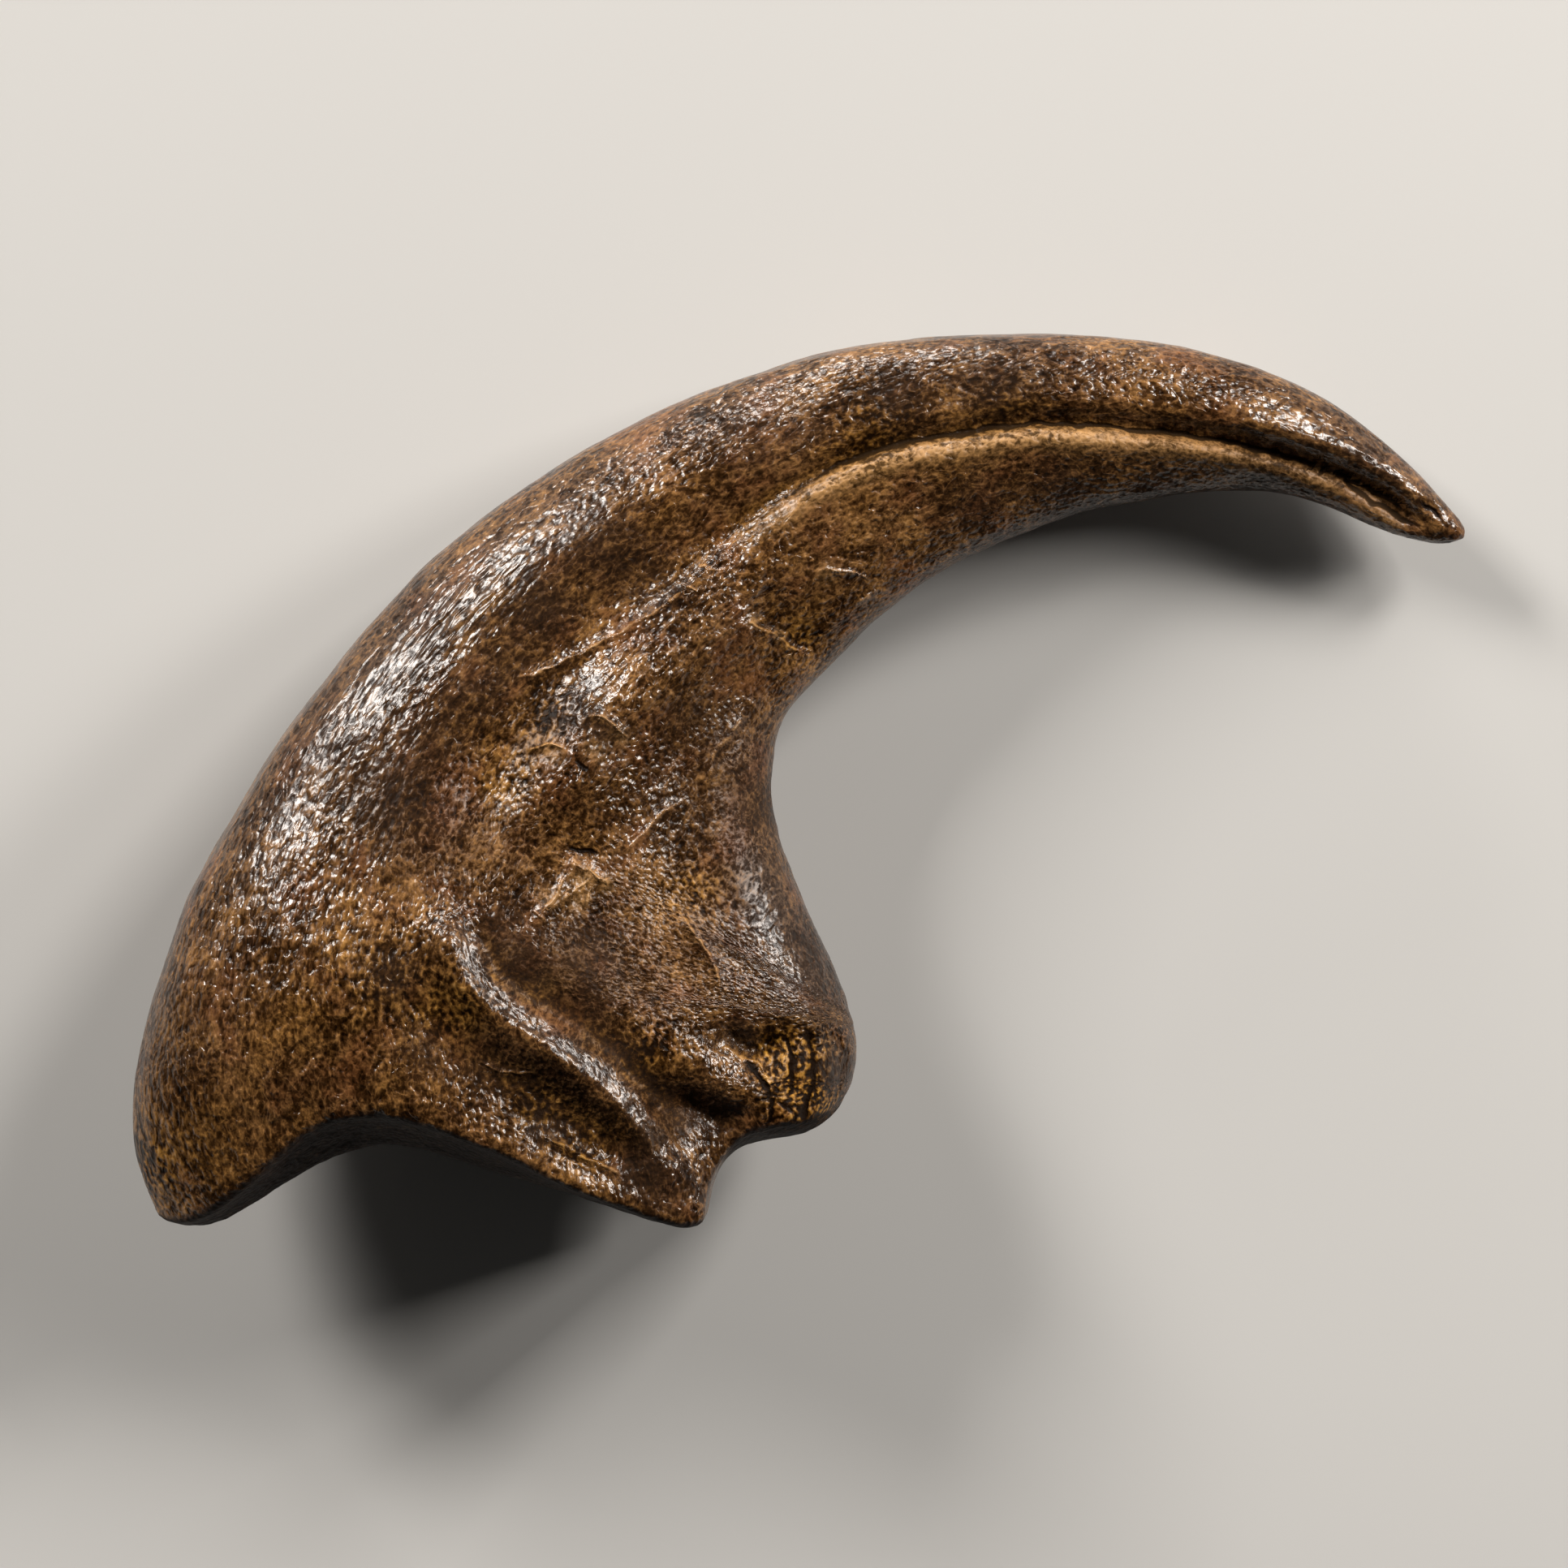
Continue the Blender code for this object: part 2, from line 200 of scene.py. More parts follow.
CUTS = (
    (
        (GROOVE, 0.6, -0.9, 20, 5),
        (((-30.3, 2.8), (-28.2, 1.4)), 0.6, -0.5, 1, 1),
        (((-31.5, -9), (-29.5, -9.6), (-27, -9.3)), 0.6, -0.5, 1, 1),
        (((-10.5, -33.8), (-7.5, -35.8), (-5.5, -36.5), (-3, -34)), 1.1, -1.3, 2, 2),
        (((-18, -42.5), (-13.5, -43.8), (-11.5, -45), (-9, -45.3)), 1.3, -0.9, 3, 2),
        (((83.7, 37.6), (85.3, 36.7), (86.9, 35.4)), 0.5, -0.7, 1, 1),
    ),
    (
        (((73, 41), (76.5, 38.3), (80, 36.2), (83.5, 34.6)), 0.8, -0.6, 2, 2),
        (((3.5, -33.5), (5.6, -37), (5.4, -41), (3.4, -43.6)), 0.9, -0.8, 2, 2),
        (((-7.2, -37.5), (-5, -40), (-3.8, -43.5), (-4.1, -46.5)), 0.6, -0.6, 1, 1),
        (((-38.5, -44), (-36, -45.8), (-32.5, -46)), 0.9, -0.6, 1, 2),
    ),
    (
        (((-1.8, -34.5), (-0.9, -38), (-1.3, -42.5)), 0.6, -0.8, 1, 1),
        (((1.3, -33.5), (2.2, -38), (1.6, -42.5), (0.4, -46)), 0.6, -0.8, 1, 1),
    ),
)
# Within this distance a line marks the bone; sharp lines of one group keep twice as far apart. A
# vertex with no line near it is given the far distance.
LINE_REACH = 1.3
FAR = 9.0
# Lines start this far before their first point and end as far after their last
LINE_OVERRUN = 0.3
# A line that spreads this far is only a soft form, with no sharp line along it, and a sharp line is at
# its strongest when it stands this high
SOFT_LINE = 0.85
FULL_LINE = 0.6
# Even facet beside the joint ridge: where it starts, slope, how far it reaches, and how far it takes to
# fade out. It starts from the height of the bone this near the ridge, averaged over this length.
FACET_EDGE = (-0.9, 0.3)
CREST_REACH = 1.0
CREST_LENGTH = 1.2
FACET_SLOPE = 0.50
FACET_REACH = 1.5
FACET_FADE = 1.7
# Where lines come in and die away: lengths from the start, then from the end
SCARP_ENDS = ((-0.5, 3), (-0.5, 3))
GROOVE_ENDS = ((-6, 10), (-1, 3))
FACET_ENDS = ((0, 5), (0, 5))
SHEEN_ENDS = ((0, 4), (0, 4))
RIDGE_VALLEY_ENDS = ((0, 6), (0, 4))
# Bands beside the groove and the joint ridge: distance of the middle to the left-hand side, and width
WORN_CREST = (-1.9, 1.5)
DULL_CREST = (-1.0, 1.2)
RIDGE_SHEEN = (0.4, 1.4)
# The valley beside the joint ridge gets painted shade and is dull
RIDGE_VALLEY = (4.3, 1.8)
# Between these lengths along the groove its worn crest weakens by a share, and a dull one comes in
# at its strength
WORN_FADE = (45, 80)
WORN_LOSS = 0.6
DULL_RISE = (35, 65)
DULL_STRENGTH = 0.6
# How strongly painted shade darkens the valley beside the joint ridge
RIDGE_VALLEY_SHADE = 0.85
# Painted shade on the joint's face: it comes in between these y places, where the surface faces down by
# these shares
JOINT_PLACE = (-34, -42)
JOINT_FACING = (0.35, 0.8)
# Broken edges: how wide the edge is, then path, how far the drop on its left-hand side reaches, depth
SCARP_EDGE = (-0.4, 0.4)
SCARPS = (
    (((-7.5, 22), (-4, 20), (-1, 18.5), (1.5, 16.5)), 3.5, 0.9),
    (((-5.5, 10), (-9, 6.5), (-11.5, 3), (-12, -2)), 3.0, 0.5),
)
# Soft patches of the upper flank: place, radius, strength. Golden hollows come first.
GOLDEN = (
    ((-2.2, -36), 3.0, 1.2),
    ((-1.4, -42), 3.6, 1.2),
    ((1.8, -36.5), 3.2, 1.0),
    ((2.0, -43.5), 3.4, 1.0),
    ((-30, -49.5), 3.0, 0.6),
    ((-87, -52), 6.0, 0.7),
    ((-46.4, -30.3), 4.5, 0.5),
    ((-35, -43.5), 4.0, 0.7),
    ((-20, -36), 3.5, 0.7),
    ((-33, 9), 3.5, 0.6),
    ((-39, 2), 4.5, 0.4),
    ((-58, -28), 9.0, 0.35),
    ((0, 19), 3.5, 0.6),
    ((-14, -14), 4.0, 0.5),
    ((10, 46.5), 5.0, 0.5),
    ((28, 50.5), 6.0, 0.4),
)
# Dark, greyish patches: stains, and painted shade in the valleys, the hollows and along the lower edge
STAINS_AND_SHADE = (
    ((-55, -26), 4.0, 0.9),
    ((-50.5, -36), 3.5, 0.8),
    ((-39.5, -21), 4.5, 0.9),
    ((-57, 2), 7.0, 0.7),
    ((-26.5, 6.5), 3.0, 0.8),
    ((2, -26), 6.0, 0.7),
    ((-82, -33), 7.0, 0.25),
    ((5.5, -39), 2.6, 1.3),
    ((-20, 25), 5.0, 0.5),
    ((-12, -44.5), 4.0, 1.0),
    ((-34.5, -46.3), 3.0, 0.9),
    ((-22, -52.5), 2.6, 0.8),
    ((-8, -34.5), 2.6, 1.2),
    ((-25, 32), 7.0, 0.5),
    ((78, 44), 7.0, 0.6),
    ((13, 52), 5.0, 0.7),
    ((26, 53.5), 5.0, 0.6),
    ((0, 48.5), 5.0, 0.5),
    ((-87, -37), 5.0, 0.4),
    ((-29, -24), 5.0, 1.0),
    ((-28.5, -32), 3.5, 0.8),
    ((-36.5, -25.5), 3.0, 0.9),
    ((-23, -37), 3.0, 0.8),
    ((-18, -55), 4.0, 0.7),
    ((-39.8, 15.6), 4.5, 0.6),
    ((-32, 22), 4.5, 0.5),
    ((-42, -39), 4.5, 0.7),
    ((-36, -41), 3.0, 0.6),
    ((36, 38.5), 5.0, 0.9),
    ((24, 37), 5.0, 0.6),
    ((48, 39.5), 5.0, 0.8),
    ((60, 38), 5.0, 0.6),
    ((-17.5, -46), 3.0, 0.7),
    ((-30, -47), 5.0, 0.5),
    ((-22, -51), 4.0, 0.5),
    ((-55, -8), 7.0, 0.5),
    ((-50, 7), 6.0, 0.45),
    ((-14, 8), 6.0, 0.45),
    ((-17, -4), 5.0, 0.4),
    ((-7, 47), 6.0, 0.5),
    ((-10, 20), 4.0, 0.4),
    ((-36, 24), 4.0, 0.6),
    ((-44, 12), 5.0, 0.4),
    ((-6, -3), 5.0, 0.9),
    ((-30, 11), 4.0, 0.5),
    ((-10, 9), 5.0, 0.4),
)
# Smooth and glossy bone
POLISHED = (
    ((-69, -4), 4.0, 0.7),
    ((-64.5, 3.6), 4.5, 0.7),
    ((-59.5, 12), 5.0, 0.8),
    ((-52.5, 18.5), 5.5, 0.9),
    ((-46, 22.5), 5.5, 0.9),
    ((-38, 29), 5.5, 0.8),
    ((-29, 34.5), 5.0, 0.6),
    ((-74, -12), 4.5, 0.5),
    ((-3.5, -18), 6.0, 0.9),
    ((-6, -12), 4.0, 0.7),
    ((1, -27), 5.0, 0.6),
    ((26, 57), 9.0, 0.4),
    ((68, 48), 9.0, 0.45),
    ((84, 38), 6.0, 0.35),
    ((-27.5, 13.5), 2.5, 0.4),
    ((-30, 9), 2.2, 0.3),
)
# Knotted, splintered and pitted bone
ROUGH = (
    ((-33, -44), 7.0, 1.0),
    ((-22, -50), 6.0, 0.9),
    ((-9, -38), 5.5, 1.0),
    ((1, -38), 6.0, 0.7),
    ((-27, -12), 8.0, 0.7),
    ((-27, 4), 6.0, 0.7),
    ((-18, -27), 8.0, 0.6),
    ((-62, -30), 13.0, 0.7),
    ((-74, -44), 9.0, 0.6),
    ((-60, -46), 8.0, 0.5),
    ((-76, -20), 7.0, 0.4),
    ((-10, 28), 7.0, 0.4),
    ((12, 34), 8.0, 0.5),
    ((-50, -46), 8.0, 0.4),
)
# Bone with little varnish
MATT = (
    ((-29, -24), 5.0, 1.0),
    ((-20, -28), 6.0, 0.55),
    ((-14, -22), 5.0, 0.5),
    ((-24, -16), 5.0, 0.4),
    ((-36, -10), 4.0, 0.6),
    ((-10, -12), 6.0, 0.7),
    ((-9, 2), 6.0, 0.7),
    ((-52, -4), 6.0, 0.7),
    ((-45, -8), 5.0, 0.7),
    ((-36, 6), 3.5, 0.6),
    ((1, -41), 4.0, 0.6),
    ((-6, -4), 4.5, 0.7),
)
# Flakes whose worn faces are pale
PALE = (
    ((-33.4, -15.8), 1.4, 0.7),
    ((-29.2, -12.8), 1.3, 0.8),
    ((-29.6, -16.2), 1.3, 0.5),
    ((-25.8, -13.6), 1.0, 0.6),
    ((-27.6, 4.2), 1.4, 0.5),
    ((-32.8, 3.8), 1.4, 0.5),
    ((-24, 6.2), 1.0, 0.5),
    ((-6.2, 21.6), 0.8, 0.6),
    ((-2.5, 19.6), 0.8, 0.6),
    ((3.5, 28.4), 1.1, 0.5),
    ((-34, -27), 1.3, 0.4),
)
# Where the worn layers of the bone show as glossy dashes
DASHED = (((-18.5, 15), 7.5, 1.0), ((-9, 25), 7.0, 0.7), ((-30, 3), 4.0, 0.5), ((-45, 22), 9.0, 0.5))

# Vector attributes of the surface, and the zones whose strengths are their three numbers
ZONES = {
    # tint: golden hollows, stains with painted shade, and painted shade on the joint's face
    "tint": ("golden", "stain_and_shade", "joint"),
    "finish": ("polished", "rough", "dashed"),
    "wear": ("worn", "matt", "dirty"),
}
# Noises in the grain's coordinates: stretch, scale, detail, roughness and distortion
NOISES = {
    "fleck": ((1.0, 0.9, 1), 1.9, 3.0, 0.62, 0.4),
    "fibre": ((0.16, 1, 1), 1.6, 1.0, 0.5, 0.4),
    "grit": ((0.85, 1, 1), 1.35, 0.6, 0.5, 0.2),
    "lump": ((0.8, 1, 1), 0.5, 1.0, 0.5, 0.3),
    "dash": ((0.36, 1, 1), 0.95, 0.8, 0.5, 0.3),
    "blotch": ((0.75, 1, 1), 0.42, 4.0, 0.65, 0.4),
    "patch": ((1, 1, 1), 0.085, 4.0, 0.6, 0.0),
    "hue": ((1, 1, 1), 0.13, 3.0, 0.6, 0.0),
}
# Noises that are turned into crumpled ridges
RIDGES = {
    "folds": ((0.65, 1, 1), 0.50, 1.0, 0.5, 0.9),
    "crumbs": ((0.65, 1, 1), 1.25, 1.0, 0.5, 0.6),
}
# How wide the material draws the stored lines, and how strong they are at their weakest
LINES = {"rib": (0.34, 0.2), "cut": (0.42, 0.7)}

# How light the bone is: a number, and what is added to it, from fine flecks to broad patches; the terms
# marked below also paint highlight and shade
TONE = (-0.258, {
    "fleck": 0.36,
    # grit is also the bump's grit, so raised grain is lighter and its pits darker: painted highlight and
    # shade
    "grit": 0.27,
    "fibre": 0.06,
    "blotch": 0.28,
    "patch": 0.40,
    # light crumbs and dark gaps in the golden zones: painted highlight and shade
    "crumbly": 1.1,
    # crumpled ridges drawn lighter: partly tan strands, partly painted glints
    "folds": 0.12,
    "crumbs": 0.10,
    # ribs drawn lighter: partly pale edges, partly painted highlight on their crests
    "rib": 0.30,
    # cuts drawn dark: painted shade in the groove, the cuts and the pits
    "cut": -0.60,
    # dark patches: stains and painted shade
    "stain_and_shade": -0.07,
    # painted shade on the joint's face
    "joint": -0.06,
    "polished": -0.03,
    "golden": -0.045,
})
# Grit above this level makes light crumbs in the golden zones, and grit below it dark gaps: painted
# highlight on the raised grit and painted shade in the gaps
CRUMB_LEVEL = 0.52
# Colours by tone, linear
BROWN = (
    (0.30, (0.0035, 0.0012, 0.0003, 1)),
    (0.44, (0.028, 0.0112, 0.0030, 1)),
    (0.54, (0.094, 0.0420, 0.0130, 1)),
    (0.66, (0.205, 0.0980, 0.0330, 1)),
    (0.80, (0.360, 0.2000, 0.0850, 1)),
)
GOLD = (
    (0.30, (0.006, 0.0022, 0.0003, 1)),
    (0.44, (0.042, 0.0165, 0.0018, 1)),
    (0.54, (0.125, 0.0540, 0.0052, 1)),
    (0.66, (0.245, 0.1120, 0.0110, 1)),
    (0.80, (0.400, 0.2050, 0.0400, 1)),
)
GOLD_SHARE = {"golden_hue": 1.0, "sunk": 0.35, "golden": 0.9}
TAN = (0.340, 0.178, 0.058, 1)
# Dark grey-brown laid on polished bone, on stains and as painted shade
DUSK = (0.026, 0.0150, 0.0095, 1)
RUST = (0.115, 0.036, 0.011, 1)
# Near-black painted shade on the joint's face
JOINT_SHADE_COLOUR = (0.006, 0.0026, 0.0016, 1)

# Varnish: roughness, then how dull it is, and how brightly it shines where it is not dull
ROUGHNESS = (0.17, {
    "blotch": 0.14,
    "golden": 0.15,
    "worn": 0.22,
    "joint": 0.5,
    "matt": 0.30,
    "dirty": 0.35,
    "cut": 0.35,
    "polished": 0.03,
})
SPECULAR_LEVEL = 0.55
DULL = {"matt": 0.75, "dirty": 0.9, "cut": 0.9, "joint": 0.8, "golden": 0.45, "stain_and_shade": 0.15}
SHINE = {"varnish": 1.0, "dull": -0.95, "polished": 0.15}

# Bump in millimetres: grains, with how strong they are in each zone, dashes of worn layers, and lines
GRAINS = {"grit": 0.27, "lump": 0.13, "folds": 0.03}
GRAIN_STRENGTH = (1.05, {
    "polished": -0.80,
    "rough": 0.45,
    "worn": -0.15,
    "matt": -0.4,
    "dirty": -0.6,
})
DASH_STRENGTH = (0.06, {"dashed": 0.80, "polished": 0.20})
BUMP = {"grains": 1.0, "dashes": 1.0, "fibre": 0.03, "rib": 0.22, "cut": -0.14}

# Sockets of a Mix node that mixes colours: share, first and second
MIX_SOCKETS = (0, 6, 7)

# Lights, at this distance: direction in the side view, size in metres, and power in watts
LIGHT_DISTANCE = 1.5
LIGHTS = {
    "key": ((-0.62, 0.60, 0.50), 0.46, 27.0),
    "right": ((0.56, 0.58, 0.59), 0.36, 20.0),
    "side": ((0.80, 0.33, 0.50), 0.34, 16.0),
    "top": ((-0.15, 1.0, 0.16), 0.46, 19.0),
}
LIGHT_COLOUR = (1, 0.965, 0.92)
LIGHT_UP = Vector((0.1, 0.2, 1))
SURROUNDINGS_COLOUR = (0.5, 0.49, 0.47, 1)
SURROUNDINGS_STRENGTH = 0.07
FLOOR_SIZE = 6.0
FLOOR_COLOUR = (0.47, 0.46, 0.445, 1)
FLOOR_ROUGHNESS = 0.9

# So many points at a time are measured against a path, and so many stations are taken along a crest
CHUNK = 20000
CREST_STATIONS = 16


def spline(points, count):
    """Catmull-Rom curve through the points, as count rows."""
    rows = np.asarray(points, dtype=float)
    padded = np.vstack([2 * rows[0] - rows[1], rows, 2 * rows[-1] - rows[-2]])
    places = np.linspace(0, len(rows) - 1, count)
    start = np.minimum(places.astype(int), len(rows) - 2)
    t = (places - start)[:, None]
    p0, p1, p2, p3 = (padded[start + k] for k in range(4))
    return 0.5 * (
        2 * p1 + (p2 - p0) * t + (2 * p0 - 5 * p1 + 4 * p2 - p3) * t**2
        + (3 * p1 - p0 - 3 * p2 + p3) * t**3
    )


def along_path(points, path, count=60):
    """Length run along a path, length left, and distance to its left-hand side."""
    line = spline(path, count)
    tangents = np.gradient(line, axis=0)
    tangents /= np.linalg.norm(tangents, axis=1)[:, None]
    lengths = np.concatenate([[0], np.cumsum(np.linalg.norm(np.diff(line, axis=0), axis=1))])
    nearest = np.empty(len(points), dtype=int)
    for first in range(0, len(points), CHUNK):
        chunk = points[first:first + CHUNK]
        offsets = chunk[:, None, :] - line[None, :, :]
        nearest[first:first + CHUNK] = (offsets**2).sum(axis=2).argmin(axis=1)
    offset = points - line[nearest]
    tangent = tangents[nearest]
    run = lengths[nearest] + (offset * tangent).sum(axis=1)
    away = tangent[:, 0] * offset[:, 1] - tangent[:, 1] * offset[:, 0]
    return run, lengths[-1] - run, away


def smoothstep(low, high, values):
    """0 at low and beyond, 1 at high and beyond, smooth between."""
    t = np.clip((values - low) / (high - low), 0, 1)
    return t * t * (3 - 2 * t)


def between_ends(run, left, start, end):
    """Share of a line that comes in between the two lengths of start and dies away as end says."""
    return smoothstep(*start, run) * smoothstep(*end, left)


def band(values, middle, width):
    """Bell curve, 1 in the middle."""
    return np.exp(-(((values - middle) / width) ** 2))


def cell_numbers(cells, seed):
    """Three even random numbers from 0 to 1 for each whole-numbered cell."""
    whole = cells.astype(np.int64).astype(np.uint64)
    mixed = whole[:, 0] * np.uint64(73856093) ^ whole[:, 1] * np.uint64(19349663)
    mixed ^= whole[:, 2] * np.uint64(83492791) ^ np.uint64(seed * 7919 + 17)
    for shift in (33, 29, 32):
        mixed ^= mixed >> np.uint64(shift)
        mixed *= np.uint64(0xFF51AFD7ED558CCD)
    mixed ^= mixed >> np.uint64(31)
    parts = [(mixed >> np.uint64(bits)) & np.uint64(0xFFFFF) for bits in (0, 20, 40)]
    return np.column_stack(parts) / float(0xFFFFF)


def noise(points, seed):
    """Gradient noise between about -1 and 1, with one wave to the unit."""
    cell = np.floor(points)
    inside = points - cell
    ease = inside**3 * (inside * (inside * 6 - 15) + 10)
    total = np.zeros(len(points))
    for corner in np.ndindex(2, 2, 2):
        gradient = 2 * cell_numbers(cell + corner, seed) - 1
        toward = inside - corner
        weight = np.prod(np.where(corner, ease, 1 - ease), axis=1)
        total += weight * (gradient * toward).sum(axis=1)
    return 1.6 * total


def octaves(points, seed, count):
    """Noise with finer and weaker noise on top."""
    return sum(noise(points * 2**k, seed + k) * 0.5**k for k in range(count))


def pebbles(points, seed):
    """Distance to the nearest of random points, one to a unit cell."""
    cell = np.floor(points)
    nearest = np.full(len(points), np.inf)
    for offset in np.ndindex(3, 3, 3):
        other = cell + np.array(offset) - 1
        centre = other + cell_numbers(other, seed)
        nearest = np.minimum(nearest, ((points - centre) ** 2).sum(axis=1))
    return np.sqrt(nearest)


def patches(points, places):
    """Strength of soft round patches of the side view, at most 1."""
    total = np.zeros(len(points))
    for centre, radius, strength in places:
        squared = ((points - np.array(centre)) ** 2).sum(axis=1)
        total += strength * np.exp(-squared / radius**2)
    return np.clip(total, 0, 1)


def fine_surface(node):
    """Copy of a CAD node as an even fine mesh."""
    mesh = node.data.copy()
    shape = bmesh.new()
    shape.from_mesh(mesh)
    bmesh.ops.remove_doubles(shape, verts=shape.verts, dist=WELD * MM)
    bmesh.ops.join_triangles(
        shape, faces=shape.faces, angle_face_threshold=math.radians(QUAD_FOLD_DEG),
        angle_shape_threshold=math.radians(QUAD_SKEW_DEG),
    )
    shape.to_mesh(mesh)
    shape.free()
    mesh.materials.clear()
    piece = bpy.data.objects.new("claw_bone", mesh)
    bpy.context.scene.collection.objects.link(piece)
    subdivide = piece.modifiers.new("round", "SUBSURF")
    subdivide.levels = 1
    remesh = piece.modifiers.new("even", "REMESH")
    remesh.mode = "VOXEL"
    remesh.voxel_size = SURFACE_VOXEL * MM
    smooth = piece.modifiers.new("smooth", "SMOOTH")
    smooth.factor = SMOOTH_SHARE
    smooth.iterations = SMOOTH_ROUNDS
    evaluated = piece.evaluated_get(bpy.context.evaluated_depsgraph_get())
    piece.modifiers.clear()
    piece.data = bpy.data.meshes.new_from_object(evaluated)
    piece.data.name = "claw_bone"
    bpy.data.meshes.remove(mesh)
    return piece


def vertex_places(mesh):
    """Vertex positions of a mesh as an array of rows."""
    values = np.empty(len(mesh.vertices) * 3, dtype=np.float32)
    mesh.vertices.foreach_get("co", values)
    return values.reshape(-1, 3).astype(float)


def vertex_normals(mesh):
    """Vertex normals of a mesh as an array of rows."""
    values = np.empty(len(mesh.vertices) * 3, dtype=np.float32)
    mesh.vertex_normals.foreach_get("vector", values)
    return values.reshape(-1, 3).astype(float)


def store(mesh, name, values):
    """Attribute on a mesh's vertices, a number or three numbers each."""
    kind, field = ("FLOAT", "value") if values.ndim == 1 else ("FLOAT_VECTOR", "vector")
    layer = mesh.attributes.new(name, kind, "POINT")
    layer.data.foreach_set(field, values.astype(np.float32).ravel())


def hollowness(mesh, place, rounds):
    """How far each vertex lies below its smoothed surroundings in millimetres, negative on ridges."""
    ends = np.empty(len(mesh.edges) * 2, dtype=np.int32)
    mesh.edges.foreach_get("vertices", ends)
    start, end = ends.reshape(-1, 2).T
    count = len(place)
    neighbours = np.bincount(start, minlength=count) + np.bincount(end, minlength=count)
    smooth = place.copy()
    for _ in range(rounds):
        for axis in range(3):
            values = smooth[:, axis]
            total = np.bincount(start, values[end], count) + np.bincount(end, values[start], count)
            smooth[:, axis] = 0.5 * values + 0.5 * total / neighbours
    return ((smooth - place) * vertex_normals(mesh)).sum(axis=1) / MM


def side_view(mesh):
    """Where each vertex lies in the side view, and how well it is seen there."""
    view = SimpleNamespace()
    turn = np.array(SIDE_VIEW_TURN)
    view.local = (vertex_places(mesh) - np.array(SIDE_VIEW_ORIGIN)) / MM @ turn
    view.normals = vertex_normals(mesh) @ turn
    height = view.local[:, 2]
    nearer = CAMERA_DISTANCE / (CAMERA_DISTANCE - np.abs(height[:, None]))
    view.flat = np.array(FRAME_MIDDLE) + (view.local[:, :2] - FRAME_MIDDLE) * nearer
    view.upper = smoothstep(-FLANK_EDGE, FLANK_EDGE, height)
    view.shown = view.upper * smoothstep(*SHOWN_FACING, view.normals[:, 2])
    view.flanks = HIDDEN_SHARE + (1 - HIDDEN_SHARE) * view.upper
    length, _, side = along_path(view.flat, GRAIN_LINE, 300)
    view.grain = np.column_stack([length, side, height])
    wander = [octaves(view.local / WANDER_WAVE, seed, count=2) for seed in WANDER_SEEDS]
    view.shaky = view.flat + WANDER * np.column_stack(wander)
    return view


def draw_lines(view, groups):
    """Heights of groups of lines, and each group's distances and strengths for the material."""
    count = len(view.shaky)
    heights = np.zeros(count)
    distances = np.full((count, 3), FAR)
    strengths = np.zeros((count, 3))
    for column, group in enumerate(groups):
        for path, spread, height, coming, going in group:
            run, left, away = along_path(view.shaky, path)
            share = between_ends(run, left, (-LINE_OVERRUN, coming), (-LINE_OVERRUN, going)) * view.shown
            heights += height * share * band(away, 0, spread)
            near = np.abs(away) < LINE_REACH
            distances[near, column] = away[near]
            drawn = (spread < SOFT_LINE) * min(1, abs(height) / FULL_LINE)
            strength = drawn * share * smoothstep(LINE_REACH, 0.6 * LINE_REACH, np.abs(away))
            strengths[:, column] = np.maximum(strengths[:, column], strength)
    return heights, distances, strengths


def slope_beside(points, heights, path, slope, reach, fade):
    """How far to move heights to slope evenly down from a path, on its left-hand side."""
    run, left, away = along_path(points, path)
    near = np.abs(away) < CREST_REACH
    stations = np.linspace(0, (run + left).max(), CREST_STATIONS)
    crest = []
    for station in stations:
        share = band(run[near], station, CREST_LENGTH)
        crest.append((heights[near] * share).sum() / share.sum())
    wanted = np.interp(run, stations, crest) - slope * away
    share = smoothstep(*FACET_EDGE, away) * (1 - smoothstep(reach, reach + fade, away))
    return share * between_ends(run, left, *FACET_ENDS) * (wanted - heights)


def line_heights(mesh, view):
    """Heights of the lines, broken edges and the facet by the joint ridge; stores the lines."""
    heights = 0
    for name, groups in (("rib", RIBS), ("cut", CUTS)):
        line_height, distances, strengths = draw_lines(view, groups)
        heights = heights + line_height
        store(mesh, name + "_away", distances)
        store(mesh, name + "_strength", strengths)
    for path, reach, depth in SCARPS:
        run, left, away = along_path(view.shaky, path)
        share = between_ends(run, left, *SCARP_ENDS) * view.shown
        drop = smoothstep(*SCARP_EDGE, away) * np.exp(-np.maximum(away, 0) / reach)
        heights -= depth * share * drop
    seen = view.local[:, 2] + heights
    facing = (view.upper > 0.5) & (seen > 0)
    heights[facing] += slope_beside(
        view.shaky[facing], seen[facing], JOINT_RIDGE, FACET_SLOPE, FACET_REACH, FACET_FADE
    )
    return heights


def worn_relief(view, rough, polished):
    """Height of lumpy, wrinkled bone all over, knotted, splintered and pitted where it is rough."""
    lumps = octaves(view.local / LUMP_SPACING, seed=11, count=2)
    wrinkles = octaves(view.grain * WRINKLES_PER_MM, seed=23, count=3)
    knots = octaves(view.local / KNOT_SPACING, seed=59, count=2)
    splinters = 0.6 - np.abs(noise(view.grain * SPLINTERS_PER_MM, seed=41)) * 2
    pits = smoothstep(*PIT_RADII, pebbles(view.local / PIT_SPACING, seed=53))
    relief = LUMP_HEIGHT * lumps + (WRINKLE_HEIGHT - POLISHED_WRINKLE_LOSS * polished) * wrinkles
    relief += rough * (KNOT_HEIGHT * knots + SPLINTER_HEIGHT * splinters - PIT_DEPTH * pits)
    return relief


def move_surface(mesh, view, heights, relief):
    """Move the vertices up by their heights and out by their relief, inside the solid's box."""
    moved = view.local + view.normals * relief[:, None]
    moved[:, 2] += heights
    place = moved @ np.array(SIDE_VIEW_TURN).T * MM + np.array(SIDE_VIEW_ORIGIN)
    lowest, highest = (np.array(corner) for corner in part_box("claw"))
    place = np.clip(place, lowest, highest)
    mesh.vertices.foreach_set("co", place.astype(np.float32).ravel())
    mesh.update()
    return place


